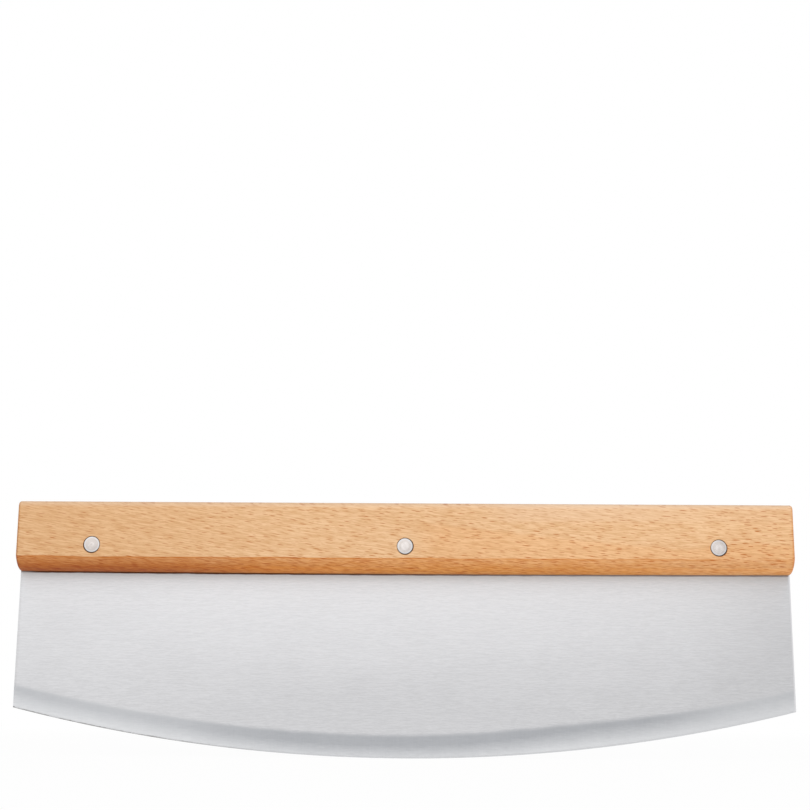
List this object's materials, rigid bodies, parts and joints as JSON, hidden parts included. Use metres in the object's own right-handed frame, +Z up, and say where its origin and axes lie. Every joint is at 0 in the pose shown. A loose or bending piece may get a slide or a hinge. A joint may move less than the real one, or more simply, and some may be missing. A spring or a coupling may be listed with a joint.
{
  "type": "rocking pizza knife",
  "caption": "Long rocking knife: a sheet steel blade with a curved, hollow-ground cutting edge, riveted by its tang into the slotted underside of a straight wooden bar handle.",
  "frame": {"origin": "lowest point of the cutting edge, at the middle of the length and of the thickness", "axes": "+X along the knife to the right seen from the front, +Y from the front face to the back face, +Z up from the edge to the handle"},
  "size_m": [0.351, 0.02, 0.113],
  "materials": {
    "handle_wood": "sanded beech, matt oil",
    "blade_steel": "stainless sheet, brushed along its length",
    "rivet_steel": "turned heads, lightly buffed"
  },
  "bodies": {
    "root": {"handle": "handle_wood", "blade": "blade_steel", "rivet_sleeve_left": "rivet_steel", "rivet_sleeve_middle": "rivet_steel", "rivet_sleeve_right": "rivet_steel", "rivet_pin_left": "rivet_steel", "rivet_pin_middle": "rivet_steel", "rivet_pin_right": "rivet_steel"}
  },
  "joints": []
}
